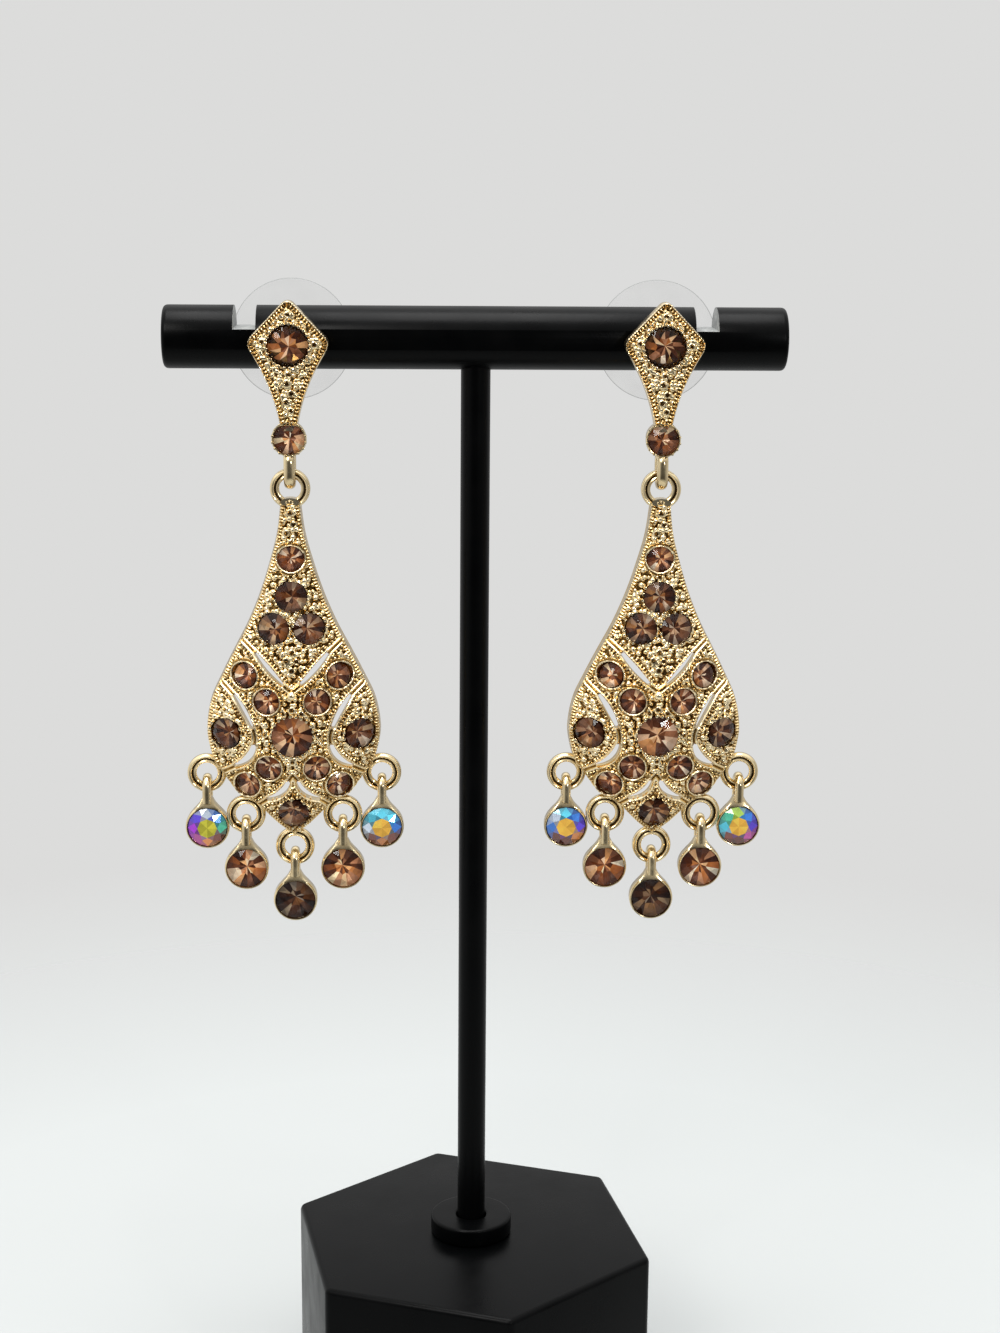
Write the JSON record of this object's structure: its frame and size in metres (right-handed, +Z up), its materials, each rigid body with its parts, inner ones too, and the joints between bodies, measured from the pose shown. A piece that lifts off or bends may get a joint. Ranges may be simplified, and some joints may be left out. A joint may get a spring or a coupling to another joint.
{
  "type": "chandelier earrings on t-bar stand",
  "caption": "Chandelier earrings with domed openwork teardrops, faceted stones and small hanging cups, displayed on a plain crossbar stand with a hexagonal base.",
  "frame": {"origin": "middle of the underside of the hexagonal base, below the post", "axes": "+Z up along the post, +X along the crossbar towards the right earring, the earrings' fronts face -Y"},
  "size_m": [0.0626, 0.04, 0.1235],
  "materials": {
    "stand_black": "satin black paint",
    "gold": "pale gold plating, polished rings and cups, beaded and pebbled castings",
    "smoky_stone": "polished facets over a foil back, smoky topaz",
    "rainbow_stone": "polished facets over a foil back, with an iridescent coating",
    "clear_plastic": "clear"
  },
  "bodies": {
    "stand": {"base_block": "stand_black", "base_collar": "stand_black", "upright_post": "stand_black", "crossbar": "stand_black", "left_stud_mount": "gold", "left_clutch": "clear_plastic", "left_stud_stone": "smoky_stone", "left_neck_stone": "smoky_stone", "right_stud_mount": "gold", "right_clutch": "clear_plastic", "right_stud_stone": "smoky_stone", "right_neck_stone": "smoky_stone"},
    "left_drop": {"left_drop_plate": "gold", "left_row_stone": "smoky_stone", "left_pair_stone_left": "smoky_stone", "left_pair_stone_right": "smoky_stone", "left_centre_stone": "smoky_stone", "left_side_stone_left": "smoky_stone", "left_side_stone_right": "smoky_stone", "left_bottom_stone": "smoky_stone", "left_drop_cup_1": "gold", "left_drop_stone_1": "rainbow_stone", "left_drop_cup_2": "gold", "left_drop_stone_2": "smoky_stone", "left_drop_cup_3": "gold", "left_drop_stone_3": "smoky_stone", "left_drop_cup_4": "gold", "left_drop_stone_4": "smoky_stone", "left_drop_cup_5": "gold", "left_drop_stone_5": "rainbow_stone"},
    "right_drop": {"right_drop_plate": "gold", "right_row_stone": "smoky_stone", "right_pair_stone_left": "smoky_stone", "right_pair_stone_right": "smoky_stone", "right_centre_stone": "smoky_stone", "right_side_stone_left": "smoky_stone", "right_side_stone_right": "smoky_stone", "right_bottom_stone": "smoky_stone", "right_drop_cup_1": "gold", "right_drop_stone_1": "rainbow_stone", "right_drop_cup_2": "gold", "right_drop_stone_2": "smoky_stone", "right_drop_cup_3": "gold", "right_drop_stone_3": "smoky_stone", "right_drop_cup_4": "gold", "right_drop_stone_4": "smoky_stone", "right_drop_cup_5": "gold", "right_drop_stone_5": "rainbow_stone"}
  },
  "joints": [
    {"name": "left_swing", "type": "hinge", "parent": "stand", "child": "left_drop", "pos_m": [-0.01865, -0.00375, 0.10457], "axis": [1, 0, 0], "range_deg": [-80, 80]},
    {"name": "right_swing", "type": "hinge", "parent": "stand", "child": "right_drop", "pos_m": [0.01865, -0.00375, 0.10457], "axis": [1, 0, 0], "range_deg": [-80, 80]}
  ]
}
